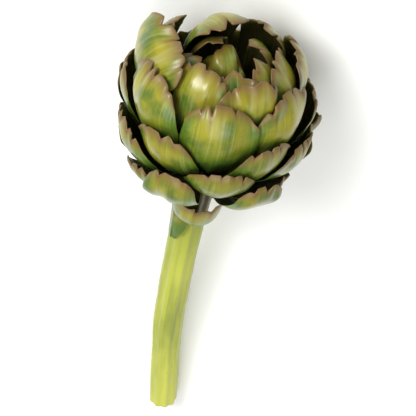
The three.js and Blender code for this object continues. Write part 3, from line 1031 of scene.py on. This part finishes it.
@dataclass
class Stalk:
    """The stalk, and the heart that it swells into, swept along the stalk's own curve.

    Attributes:
        centreline: points from the heart's bed to the cut end.
        heart: radius and height along the heart, from the bed of the bud to the stalk's top.
        hidden_length: length of the sweep, from its start, before the stalk's own markings are counted.
    """

    place: HeadFrame
    centreline: tuple[tuple[float, float, float], ...] = (
        (0, 0, -43.5), (0, -1.4, -95), (0, -1, -143), (0, 0.5, -185), (0, 7.5, -255),
    )
    heart: tuple[tuple[float, float], ...] = (
        (8.0, -22.0), (13.4, -22.8), (16.4, -24.6), (17.3, -27.3), (16.8, -30.4), (15.2, -34.1),
        (12.9, -37.8), (10.8, -41.2), (9.7, -44.6),
    )
    top_radius: float = 9.4
    end_radius: float = 8.4
    end_rounding: float = 2.0
    ribs: int = 9
    rib_height: float = 0.45
    sides: int = 96
    steps: int = 150
    hidden_length: float = 34.0

    def centre_points(self, count: int) -> np.ndarray:
        """Returns evenly spaced points of the centreline, from its top to its cut end."""
        knots = np.array(self.centreline, float)
        lengths = np.concatenate([[0], np.cumsum(np.linalg.norm(np.diff(knots, axis=0), axis=1))])
        share = np.linspace(0, 1, 400)
        at_knots = np.interp(share * lengths[-1], lengths, np.linspace(0, 1, len(knots)))
        smooth = cubic_weights(at_knots, len(knots)) @ knots
        run = np.concatenate([[0], np.cumsum(np.linalg.norm(np.diff(smooth, axis=0), axis=1))])
        places = np.linspace(0, run[-1], count)
        return np.stack([np.interp(places, run, smooth[:, k]) for k in range(3)], -1)

    def path(self) -> tuple[np.ndarray, np.ndarray]:
        """Returns the points of the sweep, from the bed of the bud to the cut end, and the radius at each."""
        heart = np.array(self.heart)
        rounded = np.interp(np.linspace(0, 1, 40), np.linspace(0, 1, len(heart)), heart[:, 0])
        heights = np.interp(np.linspace(0, 1, 40), np.linspace(0, 1, len(heart)), heart[:, 1])
        top = np.stack([0 * heights, 0 * heights, heights], -1)
        stalk = self.centre_points(self.steps)[2:]
        share = np.linspace(0, 1, len(stalk))
        radius = self.top_radius + (self.end_radius - self.top_radius) * share
        from_end = np.linalg.norm(stalk - stalk[-1], axis=1)
        fall = 1 - np.clip(from_end / self.end_rounding, 0, 1)
        radius = radius - self.end_rounding * 0.6 * (1 - np.sqrt(np.clip(1 - fall**2, 0, 1)))
        return np.concatenate([top, stalk]), np.concatenate([rounded, radius])

    def sweep_tree(self, material: bpy.types.Material) -> bpy.types.NodeTree:
        """Builds the node tree that sweeps a ribbed section along the stalk's curve.

        Args:
            material: the stalk's finish.

        Returns:
            The tree, with inputs named Rib Height, Rib Count, Sides and Seed.
        """
        tree = bpy.data.node_groups.new("ribbed_stalk_sweep", "GeometryNodeTree")
        face = tree.interface
        face.new_socket("Geometry", in_out="INPUT", socket_type="NodeSocketGeometry")
        for name, kind in (
            ("Rib Height", "NodeSocketFloat"), ("Rib Count", "NodeSocketFloat"),
            ("Sides", "NodeSocketInt"), ("Seed", "NodeSocketFloat"),
        ):
            face.new_socket(name, in_out="INPUT", socket_type=kind)
        face.new_socket("Geometry", in_out="OUTPUT", socket_type="NodeSocketGeometry")
        given = add_node(tree, "NodeGroupInput").outputs

        # The section: a ring of radius 1 whose ribs rise and fall round it.
        ring = add_node(
            tree, "GeometryNodeCurvePrimitiveCircle", inputs={"Radius": 1.0, "Resolution": given["Sides"]}
        )
        place = add_node(tree, "GeometryNodeInputPosition").outputs[0]
        parts = add_node(tree, "ShaderNodeSeparateXYZ", inputs={0: place}).outputs
        angle = add_node(tree, "ShaderNodeMath", {"operation": "ARCTAN2"}, {0: parts[1], 1: parts[0]})
        turn = angle.outputs[0]
        waves = add_node(tree, "ShaderNodeMath", {"operation": "MULTIPLY"}, {0: turn, 1: given["Rib Count"]})
        ridge = add_node(tree, "ShaderNodeMath", {"operation": "SINE"}, {0: waves.outputs[0]})
        grown = add_node(
            tree, "ShaderNodeMath", {"operation": "MULTIPLY_ADD"},
            {0: ridge.outputs[0], 1: given["Rib Height"], 2: 1.0},
        )
        ribbed = add_node(
            tree, "ShaderNodeVectorMath", {"operation": "SCALE"}, {0: place, "Scale": grown.outputs[0]}
        )
        section = add_node(
            tree, "GeometryNodeSetPosition",
            inputs={"Geometry": ring.outputs[0], "Position": ribbed.outputs[0]},
        )
        around = add_node(
            tree, "GeometryNodeStoreNamedAttribute", {"data_type": "FLOAT"},
            {"Name": "around", "Geometry": section.outputs[0], "Value": turn},
        )

        # The sweep: the curve's own radius gives the thickness of the stalk and the heart.
        length = add_node(tree, "GeometryNodeSplineParameter").outputs["Length"]
        along = add_node(
            tree, "GeometryNodeStoreNamedAttribute", {"data_type": "FLOAT"},
            {"Name": "along", "Geometry": given["Geometry"], "Value": length},
        )
        thickness = add_node(tree, "GeometryNodeInputRadius").outputs[0]
        swept = add_node(
            tree, "GeometryNodeCurveToMesh",
            inputs={
                "Curve": along.outputs[0], "Profile Curve": around.outputs[0], "Scale": thickness,
                "Fill Caps": True,
            },
        )

        # A gentle unevenness, in swellings about 20 mm long.
        noise = add_node(
            tree, "ShaderNodeTexNoise", {"noise_dimensions": "4D"},
            {"Scale": 45.0, "Detail": 2.0, "W": given["Seed"]},
        )
        swelling = add_node(
            tree, "ShaderNodeMath", {"operation": "MULTIPLY_ADD"},
            {0: noise.outputs[0], 1: 1.6 * MM, 2: -0.8 * MM},
        )
        normal = add_node(tree, "GeometryNodeInputNormal").outputs[0]
        offset = add_node(
            tree, "ShaderNodeVectorMath", {"operation": "SCALE"}, {0: normal, "Scale": swelling.outputs[0]}
        )
        uneven = add_node(
            tree, "GeometryNodeSetPosition",
            inputs={"Geometry": swept.outputs[0], "Offset": offset.outputs[0]},
        )
        smooth = add_node(tree, "GeometryNodeSetShadeSmooth", inputs={"Geometry": uneven.outputs[0]})
        real = add_node(tree, "GeometryNodeRealizeInstances", inputs={"Geometry": smooth.outputs[0]})
        dressed = add_node(
            tree, "GeometryNodeSetMaterial", inputs={"Geometry": real.outputs[0], "Material": material}
        )
        add_node(tree, "NodeGroupOutput", inputs={0: dressed.outputs[0]})
        return tree

    def build(self) -> None:
        """Sweeps the stalk and makes it one plain mesh."""
        points, radius = self.path()
        placed = self.place.to_row(points)
        curve = bpy.data.curves.new("stalk_path", "CURVE")
        curve.dimensions = "3D"
        spline = curve.splines.new("POLY")
        spline.points.add(len(placed) - 1)
        spline.points.foreach_set("co", np.concatenate([placed, np.ones((len(placed), 1))], 1).ravel())
        spline.points.foreach_set("radius", radius * MM)
        path = bpy.data.objects.new("stalk_path", curve)
        bpy.context.scene.collection.objects.link(path)
        material = StalkSkin().build()
        tree = self.sweep_tree(material)
        values = {
            "Rib Height": self.rib_height / self.top_radius, "Rib Count": float(self.ribs),
            "Sides": self.sides, "Seed": 3.0,
        }
        mesh = evaluated_mesh(path, tree, values, "stalk_and_heart_skin")
        bpy.data.objects.remove(path)
        self.mark(mesh)
        settle_piece(add_object(mesh), "stalk_and_heart")

    def mark(self, mesh: bpy.types.Mesh) -> None:
        """Stores on the mesh where each point is round and along, in millimetres.

        Args:
            mesh: the swept stalk.
        """
        count = len(mesh.vertices)
        around, along = np.zeros(count), np.zeros(count)
        for name, values in (("around", around), ("along", along)):
            mesh.attributes[name].data.foreach_get("value", values)
        along_mm = along / MM - self.hidden_length
        store(mesh, "stalk_place", np.stack([around * self.top_radius, along_mm, 0 * around], -1))


def evaluated_mesh(
    source: bpy.types.Object, tree: bpy.types.NodeTree, values: dict[str, object], name: str
) -> bpy.types.Mesh:
    """Runs a node tree on an object and keeps the result as a plain mesh.

    Args:
        source: the object that the tree runs on. Its modifier is removed again.
        tree: the node tree.
        values: a value for each of the tree's named inputs.
        name: the mesh's name.

    Returns:
        The mesh.
    """
    modifier = source.modifiers.new(tree.name, "NODES")
    modifier.node_group = tree
    for item in tree.interface.items_tree:
        if item.in_out == "INPUT" and item.name in values:
            modifier[item.identifier] = values[item.name]
    bpy.context.view_layer.update()
    graph = bpy.context.evaluated_depsgraph_get()
    mesh = bpy.data.meshes.new_from_object(source.evaluated_get(graph))
    mesh.name = name
    source.modifiers.remove(modifier)
    return mesh


# ---- The studio ----


@dataclass
class Studio:
    """A pale floor, soft light from above and the camera."""

    place: HeadFrame
    view_angle: float = 48.0
    lean: float = 12.5
    distance: float = 850.0
    frame_width: float = 222.0
    head_offset: tuple[float, float] = (7 / 416, 99 / 416)

    def build(self) -> None:
        """Makes the floor, the lights and the camera."""
        self.make_floor()
        self.make_lights()
        self.make_camera()

    def make_floor(self) -> None:
        """Makes the floor that the artichoke lies on."""
        half = 6.0
        verts = np.array([[-half, -half, 0], [half, -half, 0], [half, half, 0], [-half, half, 0]])
        mesh = make_mesh("studio_floor", verts, np.array([[0, 1, 2, 3]]), MattePaper().build())
        add_object(mesh)

    def make_lights(self) -> None:
        """Makes a large soft light overhead, a smaller one in front, and an even pale sky."""
        self.add_light("key_softbox", (0.75, 0.6, 1.1), 0.6, 11.0)
        self.add_light("window_softbox", (0.6, 0.5, 0.8), 0.28, 3.0)
        self.add_light("overhead_softbox", (-0.1, -0.1, 1.5), 1.3, 13.0)
        world = bpy.data.worlds.new("pale_sky")
        world.use_nodes = True
        backdrop = world.node_tree.nodes["Background"]
        backdrop.inputs["Color"].default_value = linear("#ffffff")
        backdrop.inputs["Strength"].default_value = 0.42
        bpy.context.scene.world = world

    def add_light(self, name: str, place: tuple[float, float, float], size: float, power: float) -> None:
        """Adds a square soft light that points at the head.

        Args:
            name: its name.
            place: where it hangs, in metres.
            size: the length of its sides.
            power: its power in watts.
        """
        light = bpy.data.lights.new(name, "AREA")
        light.size = size
        light.energy = power
        lamp = bpy.data.objects.new(name, light)
        lamp.location = place
        aim = Vector(self.place.centre) * MM - Vector(place)
        lamp.rotation_euler = aim.to_track_quat("-Z", "Y").to_euler()
        bpy.context.scene.collection.objects.link(lamp)

    def make_camera(self) -> None:
        """Makes the camera, which looks down on the front of the head with the stalk below it."""
        axis, front = Vector(self.place.axis()), Vector(self.place.front())
        angle, lean = math.radians(self.view_angle), math.radians(self.lean)
        towards = math.cos(angle) * axis + math.sin(angle) * front
        rise = math.sin(angle) * axis - math.cos(angle) * front
        side = axis.cross(front)
        up = math.cos(lean) * rise - math.sin(lean) * side
        right = math.cos(lean) * side + math.sin(lean) * rise
        spread = self.frame_width / self.distance
        ahead = -towards - self.head_offset[0] * spread * right - self.head_offset[1] * spread * up
        ahead.normalize()
        right = (right - right.dot(ahead) * ahead).normalized()
        up = right.cross(ahead)
        turn = Matrix((right, up, -ahead)).transposed().to_4x4()
        turn.translation = (Vector(self.place.centre) + self.distance * towards) * MM
        data = bpy.data.cameras.new("camera")
        data.sensor_width = 36.0
        data.lens = data.sensor_width / spread
        data.clip_start = 0.01
        camera = bpy.data.objects.new("camera", data)
        camera.matrix_world = turn
        bpy.context.scene.collection.objects.link(camera)
        bpy.context.scene.camera = camera


def main() -> None:
    """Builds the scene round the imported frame."""
    logging.basicConfig(level=logging.INFO, format="%(name)s: %(message)s")
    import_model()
    place = HeadFrame()
    Studio(place).build()
    Stalk(place).build()
    BudCore(place).build()
    Head(place).build()
    bpy.context.scene.view_settings.view_transform = "Standard"


if __name__ == "__main__":
    main()
